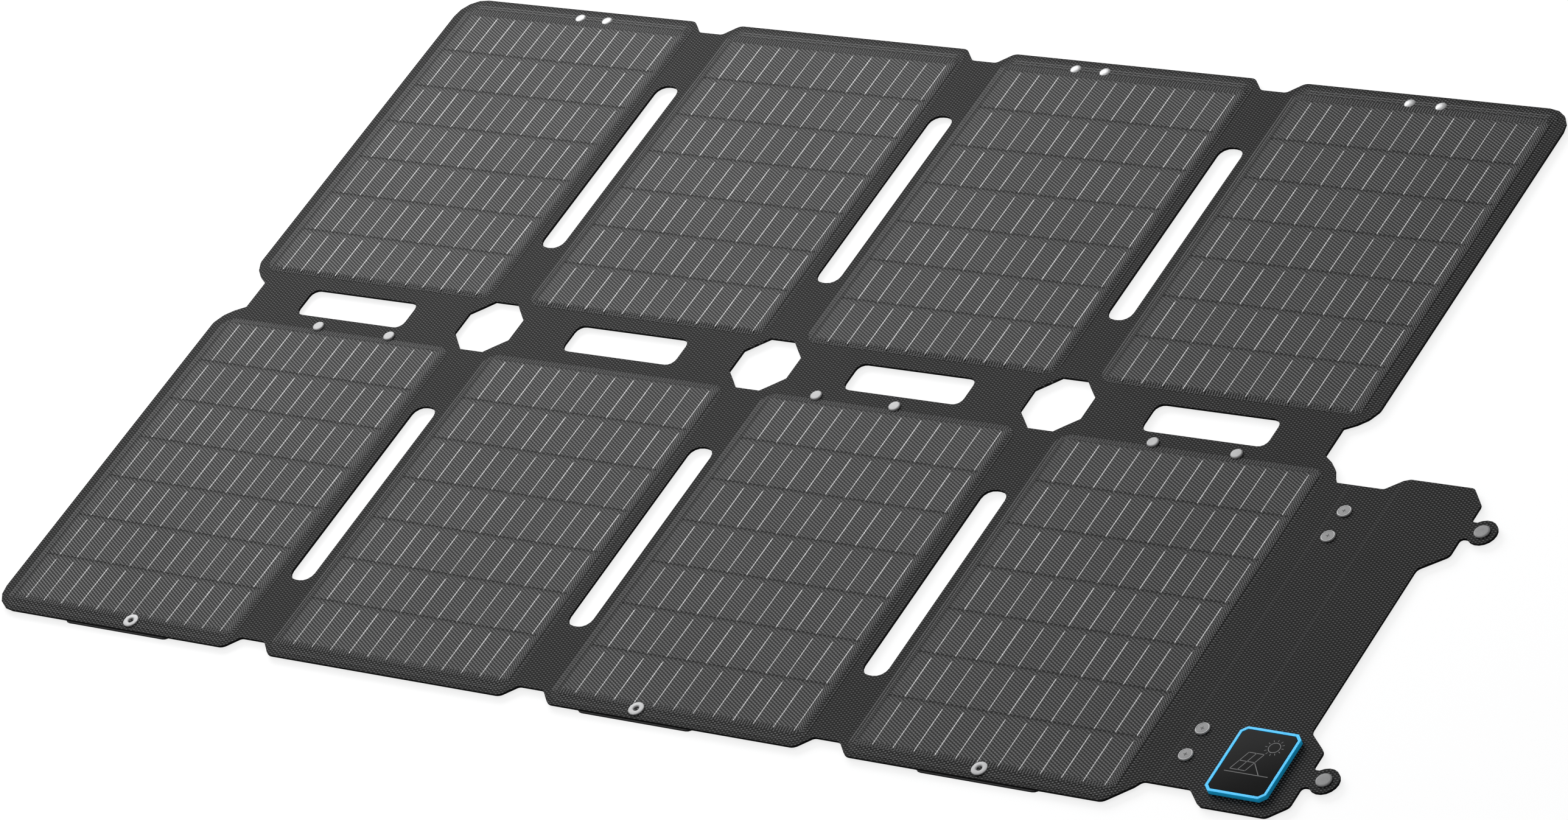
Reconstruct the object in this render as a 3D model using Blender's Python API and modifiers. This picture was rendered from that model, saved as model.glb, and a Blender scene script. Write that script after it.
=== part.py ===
"""A folding camping solar panel, opened flat: two rows of four cell panels in one laminated mat.

The mat lies face up on its kickstand boards, and the lowest point is at height zero. X runs along the
rows, towards the closing flap, and Y runs from the bottom row to the top row. Lengths are in millimetres
until a mesh is made. The layout's own X starts at the middle of the mat, and MIDDLE_X moves the origin
to the middle of the whole object.
"""

import math

import bmesh
import bpy

MM = 0.001

# Driving dimensions of the layout, in millimetres
PITCH = 260.0  # between the fold lines of neighbouring columns
MAT_SIDE = 511.0  # from the middle of the mat to its left and right edges
MAT_EDGE = 342.5  # from the row fold to the outer edge of each row
FLAP_END = 654.5  # the tip of the flap's closing tabs
MIDDLE_X = (FLAP_END - MAT_SIDE) / 2
GAP = 0.3  # between neighbouring solids
COLUMNS = (1, 2, 3, 4)
ROWS = {"bottom": -1, "top": 1}

# Heights of the layers above the ground
BOARD_LOW, BOARD_HIGH = 0.0, 1.2
STAY_LOW, STAY_HIGH = 1.5, 2.3
MAT_LOW, MAT_HIGH = 2.6, 4.5
POCKET_FLOOR = 3.6
CELLS_LOW, CELLS_HIGH = 3.9, 5.4
CAP_LOW = MAT_HIGH + GAP

# Cell panels
CELL_SIZE = (209.0, 295.0)
CELL_MIDDLE_Y = 179.5
CELL_CORNER = 3.0
POCKET_MARGIN = 0.35

# Openings and edges of the mat
BAND_HALF = 19.0  # half the width of the band between the rows
EDGE_CORNER = 21.5  # radius of an outer corner
FLAP_CHAMFER = 17.0  # chamfer of the corner below the flap
NOTCH_DEPTH, NOTCH_WIDE, NOTCH_NARROW = 11.3, 22.0, 11.0
NECK_INSET, NECK_HALF, NECK_REACH = 19.0, 13.5, 34.0
NECK_SEAM_INSET = 10.6  # where the neck's bulging side crosses the seam of the row band
NECK_BULGE = (4.4, 25.0, 10.0)  # the bulge's inset, Y and radius
SLOT_HALF_WIDTH, SLOT_HALF_LENGTH, SLOT_MIDDLE, SLOT_CORNER = 10.5, 91.5, 178.5, 9.0
HANDLE_SLOT = (105.0, 27.5)
HANDLE_CORNER = 7.0
OCTAGON_HALF = 26.0
OCTAGON_SIDE = OCTAGON_HALF * math.tan(math.radians(22.5))

# Kickstands: the column that each stands behind, its fasteners' X and its board's X
STANDS = {1: (-376.5, -388.0), 3: (96.5, 97.0), 4: (390.0, 390.0)}
STAND_WIDTH = 104.0
LEG_AXIS_Y, STAND_AXIS_Z = -24.0, 1.9
LEG_TOP = -29.5
LEG_NOTCH_HALF, LEG_NOTCH_LENGTH = 28.0, 82.0
STAY_AXIS_Y = -327.2
STAY_WIDTH, STAY_TONGUE_HALF = 90.0, 25.0
STAY_END, STAY_SHOULDER = -36.0, -84.0
STAY_TAB = (-MAT_EDGE, -327.6)

# Fasteners
TOP_CAP_Y, TOP_CAP_HALF_SPACING = 332.5, 13.2
LEG_CAP_Y, LEG_CAP_HALF_SPACING = -23.8, 35.0
GROMMET_Y = -334.0
POST_RADIUS, POST_HOLE = 1.6, 1.9
GROMMET_RADIUS, GROMMET_BARREL, GROMMET_BORE = 6.0, 3.0, 2.0
LOOP_TAB = (33.0, 34.0)
LOOP_TAB_INSET = 3.0
TOP_BAR, TOP_BAR_LOW, TOP_BAR_HIGH = (32.8, 8.0), 0.0, 0.9
LEG_BAR, LEG_BAR_LOW, LEG_BAR_HIGH = (79.0, 8.4), 0.9, 2.3
CAP_RADIUS = 4.35
STRAP_LOW = 1.2
TURN_STEPS = 16
HOLE_STEPS = 12

# Closing flap
SPINE_AXIS_X, COVER_AXIS_X = 524.0, 562.5
HINGE_GAP = 1.1  # from a flap hinge's axis to the cloth on each side of it
FLAP_AXIS_Z = (MAT_LOW + MAT_HIGH) / 2
FLAP_TOP, FLAP_BOTTOM = -36.6, -320.0
TAB_X, TAB_RADIUS, TAB_YS = 643.5, 11.0, (-62.3, -294.5)
TAB_NECK = 7.8
FLAP_FLARE = 10.0  # how much further each end of the flap reaches at its second hinge
SPINE_SHOULDER_X = 552.0
COVER_CORNER_X, EAR_CORNER_X, EAR_X, WAIST_X = 567.0, 618.0, 630.5, 612.8
COVER_TOP, COVER_BOTTOM = -24.5, -333.0
EAR_TOP, UPPER_EAR_LOW, WAIST_TOP = -38.5, -87.0, -102.5
WAIST_BOTTOM, LOWER_EAR_HIGH, EAR_BOTTOM = -256.0, -270.5, -320.5
RIVET_X, RIVET_PAIRS = 533.7, {"upper": (-62.7, -85.0), "lower": (-269.6, -291.7)}
STUD_NOSE = [(2.2, 1.6), (2.2, 0.5), (0, 0.3)]
STUD_X = -445.0  # where the tabs land on the folded pack, beside the kickstand board
HANDLE_WIDTH, HANDLE_OVERHANG = 15.0, 9.0
RIVET_BAR_WIDTH, RIVET_BAR_LOW, RIVET_BAR_HIGH = 9.0, 0.2, 0.9
RIVET_RADIUS = 5.5
SNAP_RADIUS, SNAP_FOOT_RADIUS, SNAP_FOOT_LOW = 5.85, 4.6, 1.4

# Output box on the flap
BOX_X, BOX_Y = 588.2, -292.4
FRAME_SIZE, FRAME_WALL, FRAME_CORNER = (48.3, 59.2), 2.2, 4.3
FRAME_TOP, PLATE_LOW = 8.4, 7.95
CASE_SIZE, CASE_RIM, CASE_WALL = (46.0, 57.0), (38.4, 48.4), 1.5
BOX_WINDOW = (39.0, 49.0)
CASE_FLOOR, CASE_RIM_TOP = 1.2, 4.3
BOARD_SIZE, CIRCUIT_LOW, CIRCUIT_HIGH = (34.6, 44.6), 2.9, 3.9
SOCKET_SIZE, SOCKET_WALL, SOCKET_LOW, SOCKET_DEPTH = (8.94, 3.1), 0.3, 4.65, 7.3
SOCKET_XS = {"left": -11.0, "right": 11.0}

# Fold axes: where each panel turns, above the ground
ROW_AXIS_Z = 5.7
COLUMN_AXES = {3: (PITCH, 10.3), 2: (0.0, 1.1), 1: (-PITCH, 10.3)}

ARC_STEPS = 4

for old in list(bpy.data.objects):
    bpy.data.objects.remove(old, do_unlink=True)


def collection(name):
    found = bpy.data.collections.new(name)
    bpy.context.scene.collection.children.link(found)
    return found


PARTS = collection("folding_solar_panel")
CUTTERS = collection("cutters")


def material(name, colour, roughness, metallic=0.0):
    made = bpy.data.materials.new(name)
    made.use_nodes = True
    shader = made.node_tree.nodes["Principled BSDF"]
    shader.inputs["Base Color"].default_value = (*colour, 1.0)
    shader.inputs["Roughness"].default_value = roughness
    shader.inputs["Metallic"].default_value = metallic
    return made


FABRIC = material("woven_fabric", (0.045, 0.045, 0.047), 0.75)
CELLS = material("cell_laminate", (0.085, 0.085, 0.088), 0.5)
BOARD = material("stand_board", (0.03, 0.03, 0.032), 0.7)
WEBBING = material("webbing", (0.025, 0.025, 0.027), 0.85)
STEEL = material("fastener_steel", (0.62, 0.62, 0.62), 0.32, 1.0)
CASE = material("case_plastic", (0.02, 0.02, 0.022), 0.45)
BLUE = material("frame_plastic", (0.05, 0.42, 0.78), 0.3)
GLOSS = material("face_plastic", (0.015, 0.015, 0.017), 0.15)
CIRCUIT = material("circuit_board", (0.02, 0.16, 0.06), 0.5)


# ---------------------------------------------------------------- bodies


def empty(name, x, y, z, parent=None):
    """A body's empty, on its joint's axis."""
    made = bpy.data.objects.new(name, None)
    made.empty_display_size = 0.03
    PARTS.objects.link(made)
    made.location = ((x - MIDDLE_X) * MM, y * MM, z * MM)
    if parent:
        hang(made, parent)
    return made


def hang(child, parent):
    """Parents child to parent and leaves it where it stands."""
    bpy.context.view_layer.update()
    world = child.matrix_world.copy()
    child.parent = parent
    child.matrix_parent_inverse = parent.matrix_world.inverted()
    child.matrix_world = world


def make_bodies():
    """The tree of moving bodies: each column hangs on the next, and each top panel on its bottom one."""
    made = {"bottom_4": empty("body_bottom_4", PITCH * 1.5, -MAT_EDGE / 2, MAT_LOW)}
    for k in (3, 2, 1):
        x, z = COLUMN_AXES[k]
        made[f"bottom_{k}"] = empty(f"body_bottom_{k}", x, -MAT_EDGE / 2, z, made[f"bottom_{k + 1}"])
    for k in COLUMNS:
        middle = (k - 2.5) * PITCH
        made[f"top_{k}"] = empty(f"body_top_{k}", middle, 0, ROW_AXIS_Z, made[f"bottom_{k}"])
    for k, (_, board_x) in STANDS.items():
        panel = made[f"bottom_{k}"]
        made[f"leg_{k}"] = empty(f"body_leg_{k}", board_x, LEG_AXIS_Y, STAND_AXIS_Z, panel)
        made[f"stay_{k}"] = empty(f"body_stay_{k}", board_x, STAY_AXIS_Y, STAND_AXIS_Z, panel)
    middle = (FLAP_TOP + FLAP_BOTTOM) / 2
    made["spine"] = empty("body_spine", SPINE_AXIS_X, middle, FLAP_AXIS_Z, made["bottom_4"])
    made["cover"] = empty("body_cover", COVER_AXIS_X, middle, FLAP_AXIS_Z, made["spine"])
    return made


BODIES = make_bodies()


# ---------------------------------------------------------------- outlines


def rounded(corners):
    """A closed outline through (x, y, radius) corners, each radius an arc."""
    points = []
    for i, (x, y, radius) in enumerate(corners):
        before, after = corners[i - 1], corners[(i + 1) % len(corners)]
        if not radius:
            points.append((x, y))
            continue
        a = math.atan2(before[1] - y, before[0] - x)
        b = math.atan2(after[1] - y, after[0] - x)
        turn = (b - a + math.pi) % math.tau - math.pi
        reach = radius / math.tan(abs(turn) / 2)
        middle = a + turn / 2
        far = radius / math.sin(abs(turn) / 2)
        centre = (x + far * math.cos(middle), y + far * math.sin(middle))
        start = (x + reach * math.cos(a), y + reach * math.sin(a))
        first = math.atan2(start[1] - centre[1], start[0] - centre[0])
        sweep = -math.copysign(math.pi - abs(turn), turn)
        for step in range(ARC_STEPS + 1):
            angle = first + sweep * step / ARC_STEPS
            points.append((centre[0] + radius * math.cos(angle), centre[1] + radius * math.sin(angle)))
    return points


def rectangle(x, y, width, length, radius=0.0):
    """A rectangle's outline about its centre."""
    w, h = width / 2, length / 2
    corners = [(x - w, y - h), (x + w, y - h), (x + w, y + h), (x - w, y + h)]
    return rounded([(px, py, radius) for px, py in corners])


def chamfered(x, y, width, length, chamfer):
    """A rectangle with its corners cut at 45 degrees."""
    w, h, c = width / 2, length / 2, chamfer
    quarter = [(w, -h + c), (w, h - c), (w - c, h)]
    right = [(x + px, y + py) for px, py in quarter]
    left = [(x - px, y + py) for px, py in reversed(quarter)]
    return [(x + w - c, y - h), *right, *left, (x - w + c, y - h)]


def circle(x, y, radius, steps=TURN_STEPS):
    angles = [math.tau * i / steps for i in range(steps)]
    return [(x + radius * math.cos(a), y + radius * math.sin(a)) for a in angles]


def mirrored(corners):
    """The same corners with Y turned over, in the order that keeps the outline's direction."""
    return [(x, -y, r) for x, y, r in reversed(corners)]


def fold_side(x, side):
    """A panel's side at a fold line, from the row band to the far edge; side is +1 on a right-hand side."""
    edge = x - side * GAP / 2
    inner = BAND_HALF + GAP / 2
    slant = OCTAGON_HALF + OCTAGON_SIDE - inner
    near, far = SLOT_MIDDLE - SLOT_HALF_LENGTH, SLOT_MIDDLE + SLOT_HALF_LENGTH
    slot = x - side * SLOT_HALF_WIDTH
    return [
        (x - side * slant, inner, 0),
        (x - side * OCTAGON_SIDE, OCTAGON_HALF, 0),
        (edge, OCTAGON_HALF, 0),
        (edge, near, 0),
        (slot, near, SLOT_CORNER),
        (slot, far, SLOT_CORNER),
        (edge, far, 0),
        (edge, MAT_EDGE - NOTCH_DEPTH, 0),
        (x - side * NOTCH_NARROW, MAT_EDGE - NOTCH_DEPTH, 5.0),
        (x - side * NOTCH_WIDE, MAT_EDGE, 8.0),
    ]


def outer_side(side):
    """A panel's free side, with the bulge beside the side notch and the round outer corner."""
    x = side * MAT_SIDE
    bulge, bulge_y, bulge_radius = NECK_BULGE
    inner = BAND_HALF + GAP / 2
    return [
        (x - side * NECK_SEAM_INSET, inner, 0),
        (x - side * bulge, bulge_y, bulge_radius),
        (x, NECK_REACH, 9.0),
        (x, MAT_EDGE, EDGE_CORNER),
    ]


def flap_side():
    """The free side of the panel that carries the flap, out to the flap's first hinge."""
    bulge, bulge_y, _ = NECK_BULGE
    inner = BAND_HALF + GAP / 2
    edge = SPINE_AXIS_X - HINGE_GAP
    return [
        (MAT_SIDE - NECK_SEAM_INSET, inner, 0),
        (MAT_SIDE - bulge, bulge_y, 6.0),
        (MAT_SIDE - 1.0, NECK_REACH - 2.5, 0),
        (MAT_SIDE + 2.5, -FLAP_TOP, 3.0),
        (edge, -FLAP_TOP, 0),
        (edge, -FLAP_BOTTOM, 0),
        (MAT_SIDE + 3.5, -FLAP_BOTTOM, 5.0),
        (MAT_SIDE - 0.5, MAT_EDGE - FLAP_CHAMFER + 0.5, 6.0),
        (MAT_SIDE - FLAP_CHAMFER, MAT_EDGE, 8.0),
    ]


def panel_outline(k, row):
    """The mat of one panel, seen from above."""
    low, high = (k - 3) * PITCH, (k - 2) * PITCH
    left = outer_side(-1) if k == COLUMNS[0] else fold_side(low, -1)
    if k < COLUMNS[-1]:
        right = fold_side(high, 1)
    else:
        right = flap_side() if row == "bottom" else outer_side(1)
    corners = right + left[::-1]
    return rounded(corners if ROWS[row] > 0 else mirrored(corners))


def band_outline(k):
    """The band between the rows, between two octagonal openings or a side notch."""
    corners = []
    for side, x in ((1, (k - 2) * PITCH), (-1, (k - 3) * PITCH)):
        if abs(x) > PITCH * 1.5:
            x = side * (MAT_SIDE - NECK_INSET)
            half = BAND_HALF - GAP / 2
            end = [(x + side * (NECK_INSET - NECK_SEAM_INSET), half, 0), (x, NECK_HALF, 0)]
        else:
            half = BAND_HALF - GAP / 2
            slant = OCTAGON_HALF + OCTAGON_SIDE - half
            end = [(x - side * slant, half, 0), (x - side * OCTAGON_HALF, OCTAGON_SIDE, 0)]
        whole = [(px, -py, r) for px, py, r in end] + end[::-1]
        corners += whole if side > 0 else whole[::-1]
    return rounded(corners)


def spine_outline():
    low, high = SPINE_AXIS_X + HINGE_GAP, COVER_AXIS_X - HINGE_GAP
    return rounded(
        [
            (low, FLAP_BOTTOM, 0),
            (SPINE_SHOULDER_X, FLAP_BOTTOM, 4.0),
            (high, FLAP_BOTTOM - FLAP_FLARE, 0),
            (high, FLAP_TOP + FLAP_FLARE, 0),
            (SPINE_SHOULDER_X, FLAP_TOP, 4.0),
            (low, FLAP_TOP, 0),
        ]
    )


def tab_lobe(y):
    """A closing tab's round end, from its lower neck to its upper neck."""
    reach = math.asin(TAB_NECK / TAB_RADIUS)
    steps = 14
    points = []
    for i in range(steps + 1):
        angle = -math.pi + reach + (math.tau - 2 * reach) * i / steps
        points.append((TAB_X + TAB_RADIUS * math.cos(angle), y + TAB_RADIUS * math.sin(angle), 0))
    return points


def cover_outline():
    """The flap's outer part, with an ear and a tab at each end."""
    low = COVER_AXIS_X + HINGE_GAP
    upper, lower = TAB_YS
    return rounded(
        [
            (low, FLAP_BOTTOM - FLAP_FLARE, 0),
            (COVER_CORNER_X, COVER_BOTTOM, 4.0),
            (EAR_CORNER_X, COVER_BOTTOM, 6.0),
            (EAR_X, EAR_BOTTOM, 6.0),
            (EAR_X, lower - TAB_NECK, 3.0),
            *tab_lobe(lower),
            (EAR_X, lower + TAB_NECK, 3.0),
            (EAR_X, LOWER_EAR_HIGH, 6.0),
            (WAIST_X, WAIST_BOTTOM, 6.0),
            (WAIST_X, WAIST_TOP, 6.0),
            (EAR_X, UPPER_EAR_LOW, 6.0),
            (EAR_X, upper - TAB_NECK, 3.0),
            *tab_lobe(upper),
            (EAR_X, upper + TAB_NECK, 3.0),
            (EAR_X, EAR_TOP, 6.0),
            (EAR_CORNER_X, COVER_TOP, 5.0),
            (COVER_CORNER_X, COVER_TOP, 4.0),
            (low, FLAP_TOP + FLAP_FLARE, 0),
        ]
    )


# ---------------------------------------------------------------- makers


def finish_part(made, body, look):
    made.data.materials.append(look)
    PARTS.objects.link(made)
    hang(made, BODIES[body])
    return made


def outline_mesh(name, loops, low, high):
    """The mesh of a flat piece: the first loop is its rim, and the rest are holes.

    The curve is filled at one unit to the millimetre, which keeps close points apart, and then scaled.
    """
    curve = bpy.data.curves.new(name, "CURVE")
    curve.dimensions = "2D"
    curve.fill_mode = "BOTH"
    curve.extrude = (high - low) / 2
    for loop in loops:
        spline = curve.splines.new("POLY")
        spline.points.add(len(loop) - 1)
        for point, (x, y) in zip(spline.points, loop):
            point.co = (x - MIDDLE_X, y, 0, 1)
        spline.use_cyclic_u = True
    outline = bpy.data.objects.new(name, curve)
    bpy.context.scene.collection.objects.link(outline)
    graph = bpy.context.evaluated_depsgraph_get()
    mesh = bpy.data.meshes.new_from_object(outline.evaluated_get(graph))
    bpy.data.objects.remove(outline)
    work = bmesh.new()
    work.from_mesh(mesh)
    bmesh.ops.remove_doubles(work, verts=work.verts, dist=1e-3)
    bmesh.ops.translate(work, verts=work.verts, vec=(0, 0, (low + high) / 2))
    bmesh.ops.scale(work, verts=work.verts, vec=(MM, MM, MM))
    work.to_mesh(mesh)
    work.free()
    mesh.name = name
    return mesh


def plate(name, loops, low, high, body, look):
    """A flat piece on a body."""
    made = bpy.data.objects.new(name, outline_mesh(name, loops, low, high))
    return finish_part(made, body, look)


def turned_mesh(name, profile):
    """An edge profile of (radius, height) points, closed if it ends where it starts."""
    closed = profile[0] == profile[-1]
    points = profile[:-1] if closed else profile
    mesh = bpy.data.meshes.new(name)
    work = bmesh.new()
    made = [work.verts.new((r * MM, 0, z * MM)) for r, z in points]
    pairs = list(zip(made, made[1:])) + ([(made[-1], made[0])] if closed else [])
    for a, b in pairs:
        work.edges.new((a, b))
    work.to_mesh(mesh)
    work.free()
    return mesh


def turned_object(name, profile, x, y):
    """A round solid about an upright axis, its profile running down its outer side."""
    made = bpy.data.objects.new(name, turned_mesh(name, profile))
    made.location = ((x - MIDDLE_X) * MM, y * MM, 0)
    screw = made.modifiers.new("turn", "SCREW")
    screw.steps = TURN_STEPS
    screw.render_steps = TURN_STEPS
    screw.use_merge_vertices = True
    screw.merge_threshold = 1e-6
    screw.use_smooth_shade = True
    return made


def tool(made):
    """Puts an object in the cutters collection, out of the render."""
    CUTTERS.objects.link(made)
    made.hide_render = True
    made.display_type = "WIRE"
    return made


def join(main, other):
    union = main.modifiers.new("join", "BOOLEAN")
    union.operation = "UNION"
    union.solver = "EXACT"
    union.object = tool(other)


def cut(main, loops, low, high):
    name = main.name + "_cutter"
    cutter = bpy.data.objects.new(name, outline_mesh(name, loops, low, high))
    difference = main.modifiers.new("cut", "BOOLEAN")
    difference.operation = "DIFFERENCE"
    # the exact solver leaves seams in a mat whose edge has many points in one line
    difference.solver = "MANIFOLD"
    difference.object = tool(cutter)


# ---------------------------------------------------------------- profiles


def cap_profile(crown, rim, radius, foot):
    """A fastener's cap on its post: crown points, then the rim, and the post down to foot."""
    return [*crown, (radius, rim), (radius, CAP_LOW), (POST_RADIUS, CAP_LOW), (POST_RADIUS, foot), (0, foot)]


DOME, DOME_RIM = [(0, 6.7), (1.8, 6.5), (3.3, 6.0)], 5.2
FLAT, FLAT_RIM = [(0, 6.1), (3.9, 6.1)], 5.8
RIVET, RIVET_RIM = [(0, 5.6), (4.9, 5.6)], 5.2


# ---------------------------------------------------------------- the mat


def make_panels():
    for row, sign in ROWS.items():
        for k in COLUMNS:
            body = f"{row}_{k}"
            middle = (k - 2.5) * PITCH, sign * CELL_MIDDLE_Y
            holes = fastener_holes(k, row)
            mat = plate(f"mat_{body}", [panel_outline(k, row), *holes], MAT_LOW, MAT_HIGH, body, FABRIC)
            width, length = (side + 2 * POCKET_MARGIN for side in CELL_SIZE)
            pocket = rectangle(*middle, width, length, CELL_CORNER + POCKET_MARGIN)
            cut(mat, [pocket], POCKET_FLOOR, MAT_HIGH + 1.0)
            cells = rectangle(*middle, *CELL_SIZE, CELL_CORNER)
            plate(f"cells_{body}", [cells], CELLS_LOW, CELLS_HIGH, body, CELLS)


def fastener_holes(k, row):
    """The holes that a stand's fasteners need in one panel's mat."""
    if k not in STANDS:
        return []
    x = STANDS[k][0]
    if row == "top":
        return [circle(x + s * TOP_CAP_HALF_SPACING, TOP_CAP_Y, POST_HOLE, HOLE_STEPS) for s in (-1, 1)]
    caps = [circle(x + s * LEG_CAP_HALF_SPACING, LEG_CAP_Y, POST_HOLE, HOLE_STEPS) for s in (-1, 1)]
    return [*caps, circle(x, GROMMET_Y, GROMMET_BARREL + GAP)]


def make_bands():
    for k in COLUMNS:
        slot = rectangle((k - 2.5) * PITCH, 0, *HANDLE_SLOT, HANDLE_CORNER)
        plate(f"handle_band_{k}", [band_outline(k), slot], MAT_LOW, MAT_HIGH, f"bottom_{k}", FABRIC)


# ---------------------------------------------------------------- the stands


def make_leg(k, fastener_x, board_x):
    """A kickstand board: two arms beside a notch, and the foot flush with the mat's edge."""
    left, right = board_x - STAND_WIDTH / 2, board_x + STAND_WIDTH / 2
    shoulder = LEG_AXIS_Y - LEG_NOTCH_LENGTH
    inner_left, inner_right = fastener_x - LEG_NOTCH_HALF, fastener_x + LEG_NOTCH_HALF
    corners = [
        (left, -MAT_EDGE, 6.0),
        (right, -MAT_EDGE, 6.0),
        (right, LEG_TOP, 4.0),
        (inner_right, LEG_TOP, 3.0),
        (inner_right, shoulder, 4.0),
        (inner_left, shoulder, 4.0),
        (inner_left, LEG_TOP, 3.0),
        (left, LEG_TOP, 4.0),
    ]
    plate(f"kickstand_{k}", [rounded(corners)], BOARD_LOW, BOARD_HIGH, f"leg_{k}", BOARD)


def make_stay(k, fastener_x):
    """The sheet that limits the kickstand, with a tongue through the board's notch."""
    w, t = STAY_WIDTH / 2, STAY_TONGUE_HALF
    corners = [
        (fastener_x - w, STAY_AXIS_Y, 0),
        (fastener_x + w, STAY_AXIS_Y, 0),
        (fastener_x + w, STAY_SHOULDER, 5.0),
        (fastener_x + t, STAY_SHOULDER, 3.0),
        (fastener_x + t, STAY_END, 4.0),
        (fastener_x - t, STAY_END, 4.0),
        (fastener_x - t, STAY_SHOULDER, 3.0),
        (fastener_x - w, STAY_SHOULDER, 5.0),
    ]
    plate(f"stay_sheet_{k}", [rounded(corners)], STAY_LOW, STAY_HIGH, f"stay_{k}", WEBBING)


def make_stay_tab(k, fastener_x, board_x):
    """The fixed end of the stay, held by the grommet."""
    low, high = STAY_TAB
    left, right = board_x - STAND_WIDTH / 2, board_x + STAND_WIDTH / 2
    corners = [(left, low, 6.0), (right, low, 6.0), (right, high, 0), (left, high, 0)]
    hole = circle(fastener_x, GROMMET_Y, GROMMET_BARREL + GAP)
    plate(f"stay_tab_{k}", [rounded(corners), hole], STAY_LOW, STAY_HIGH, f"bottom_{k}", WEBBING)


def make_cap_pair(name, x, y, half, bar, low, high, crown, rim, body):
    """Two caps whose posts share one backing bar under the mat."""
    outline = rectangle(x, y, *bar, bar[1] / 2 - 0.1)
    made = plate(name, [outline], low, high, body, STEEL)
    for side in (-1, 1):
        profile = cap_profile(crown, rim, CAP_RADIUS, (low + high) / 2)
        join(made, turned_object(f"{name}_post", profile, x + side * half, y))


def make_loop_tab(k, x):
    """The webbing tab behind the top edge, through which the panel is tied up."""
    width, length = LOOP_TAB
    middle = MAT_EDGE - LOOP_TAB_INSET - length / 2
    holes = [circle(x + s * TOP_CAP_HALF_SPACING, TOP_CAP_Y, POST_HOLE, HOLE_STEPS) for s in (-1, 1)]
    outline = rectangle(x, middle, width, length, 2.0)
    plate(f"loop_tab_{k}", [outline, *holes], STRAP_LOW, STAY_HIGH, f"top_{k}", WEBBING)


def make_grommet(k, x):
    inner, barrel, outer = GROMMET_BORE, GROMMET_BARREL, GROMMET_RADIUS
    profile = [
        (inner, 5.4),
        (inner + 0.6, 5.7),
        (outer - 0.8, 5.7),
        (outer, 5.3),
        (outer, CAP_LOW),
        (barrel, CAP_LOW),
        (barrel, STAY_LOW),
        (inner, STAY_LOW),
        (inner, 5.4),
    ]
    finish_part(turned_object(f"grommet_{k}", profile, x, GROMMET_Y), f"bottom_{k}", STEEL)


def make_stands():
    for k, (x, board_x) in STANDS.items():
        make_leg(k, x, board_x)
        make_stay(k, x)
        make_stay_tab(k, x, board_x)
        make_grommet(k, x)
        make_loop_tab(k, x)
        sizes = TOP_CAP_HALF_SPACING, TOP_BAR, TOP_BAR_LOW, TOP_BAR_HIGH, DOME, DOME_RIM
        make_cap_pair(f"top_caps_{k}", x, TOP_CAP_Y, *sizes, f"top_{k}")
        sizes = LEG_CAP_HALF_SPACING, LEG_BAR, LEG_BAR_LOW, LEG_BAR_HIGH, FLAT, FLAT_RIM
        make_cap_pair(f"leg_caps_{k}", x, LEG_CAP_Y, *sizes, f"bottom_{k}")


# ---------------------------------------------------------------- the flap


def make_flap():
    holes = [circle(RIVET_X, y, POST_HOLE, HOLE_STEPS) for pair in RIVET_PAIRS.values() for y in pair]
    plate("flap_spine", [spine_outline(), *holes], MAT_LOW, MAT_HIGH, "spine", FABRIC)
    tab_holes = [circle(TAB_X, y, POST_HOLE, HOLE_STEPS) for y in TAB_YS]
    window = rectangle(BOX_X, BOX_Y, *BOX_WINDOW, 2.0)
    plate("flap_cover", [cover_outline(), window, *tab_holes], MAT_LOW, MAT_HIGH, "cover", FABRIC)


def make_carry_handle():
    """A flat strap behind the spine, riveted at both ends."""
    ys = [y for pair in RIVET_PAIRS.values() for y in pair]
    low, high = min(ys) - HANDLE_OVERHANG, max(ys) + HANDLE_OVERHANG
    outline = rectangle(RIVET_X, (low + high) / 2, HANDLE_WIDTH, high - low, 3.0)
    holes = [circle(RIVET_X, y, POST_HOLE, HOLE_STEPS) for y in ys]
    plate("carry_handle", [outline, *holes], STRAP_LOW, STAY_HIGH, "spine", WEBBING)
    for name, pair in RIVET_PAIRS.items():
        middle = sum(pair) / 2
        bar = rectangle(RIVET_X, middle, RIVET_BAR_WIDTH, abs(pair[0] - pair[1]) + RIVET_BAR_WIDTH, 3.0)
        made = plate(f"rivets_{name}", [bar], RIVET_BAR_LOW, RIVET_BAR_HIGH, "spine", STEEL)
        for y in pair:
            profile = cap_profile(RIVET, RIVET_RIM, RIVET_RADIUS, (RIVET_BAR_LOW + RIVET_BAR_HIGH) / 2)
            join(made, turned_object(f"rivets_{name}_post", profile, RIVET_X, y))


def make_tab_snaps():
    """A snap cap on each tab, and the stud behind column 1 that it closes on."""
    for name, y in zip(("upper", "lower"), TAB_YS):
        crown = [(0, 5.8), (SNAP_RADIUS - 0.45, 5.8), (SNAP_RADIUS, 5.4), (SNAP_RADIUS, CAP_LOW)]
        foot = [(SNAP_FOOT_RADIUS, STAY_HIGH), (SNAP_FOOT_RADIUS, SNAP_FOOT_LOW), (0, SNAP_FOOT_LOW)]
        snap = [*crown, (POST_RADIUS, CAP_LOW), (POST_RADIUS, STAY_HIGH), *foot]
        finish_part(turned_object(f"tab_snap_{name}", snap, TAB_X, y), "cover", STEEL)
        stud = [(0, STAY_HIGH), (SNAP_FOOT_RADIUS, STAY_HIGH), (SNAP_FOOT_RADIUS, 1.7), *STUD_NOSE]
        finish_part(turned_object(f"closing_stud_{name}", stud, STUD_X, y), "bottom_1", STEEL)


# ---------------------------------------------------------------- the output box


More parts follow.
